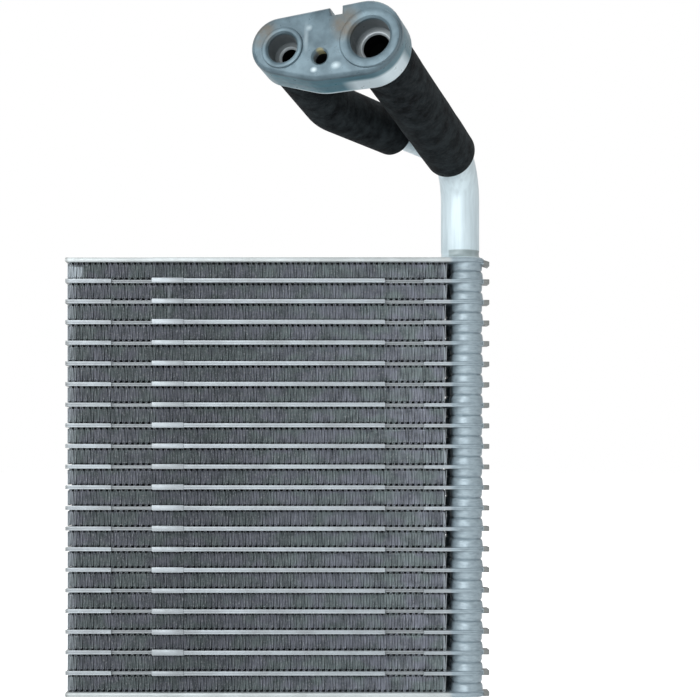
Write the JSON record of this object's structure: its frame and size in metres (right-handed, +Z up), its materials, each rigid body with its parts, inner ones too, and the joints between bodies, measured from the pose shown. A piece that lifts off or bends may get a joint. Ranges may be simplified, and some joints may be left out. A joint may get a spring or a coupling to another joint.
{
  "type": "evaporator core",
  "caption": "Laminated aluminium evaporator core: level plate pairs with folded fins between them, tank cups at one end, and bent pipes in foam sleeves that end at a connection block.",
  "frame": {"origin": "middle of the underside of the bottom end plate", "axes": "+X towards the tanks, -Y towards the side that the block faces, +Z up through the stack of plates"},
  "size_m": [0.2264, 0.2088, 0.3369],
  "materials": {
    "end_plate": "bright, brazed",
    "plate": "satin, brazed",
    "fin": "satin, coated",
    "pipe": "smooth drawn",
    "block": "machined",
    "foam": "matt closed-cell foam"
  },
  "bodies": {
    "root": {"bottom_end_plate": "end_plate", "fin_01": "fin", "fin_02": "fin", "fin_03": "fin", "fin_04": "fin", "fin_05": "fin", "fin_06": "fin", "fin_07": "fin", "fin_08": "fin", "fin_09": "fin", "fin_10": "fin", "fin_11": "fin", "fin_12": "fin", "fin_13": "fin", "fin_14": "fin", "fin_15": "fin", "fin_16": "fin", "fin_17": "fin", "fin_18": "fin", "fin_19": "fin", "fin_20": "fin", "fin_21": "fin", "tube_plates_01": "plate", "tube_plates_02": "plate", "tube_plates_03": "plate", "tube_plates_04": "plate", "tube_plates_05": "plate", "tube_plates_06": "plate", "tube_plates_07": "plate", "tube_plates_08": "plate", "tube_plates_09": "plate", "tube_plates_10": "plate", "tube_plates_11": "plate", "tube_plates_12": "plate", "tube_plates_13": "plate", "tube_plates_14": "plate", "tube_plates_15": "plate", "tube_plates_16": "plate", "tube_plates_17": "plate", "tube_plates_18": "plate", "tube_plates_19": "plate", "tube_plates_20": "plate", "top_end_plate": "end_plate", "connection_block": "block", "suction_pipe": "pipe", "liquid_pipe": "pipe", "suction_foam_sleeve": "foam", "liquid_foam_sleeve": "foam"}
  },
  "joints": []
}
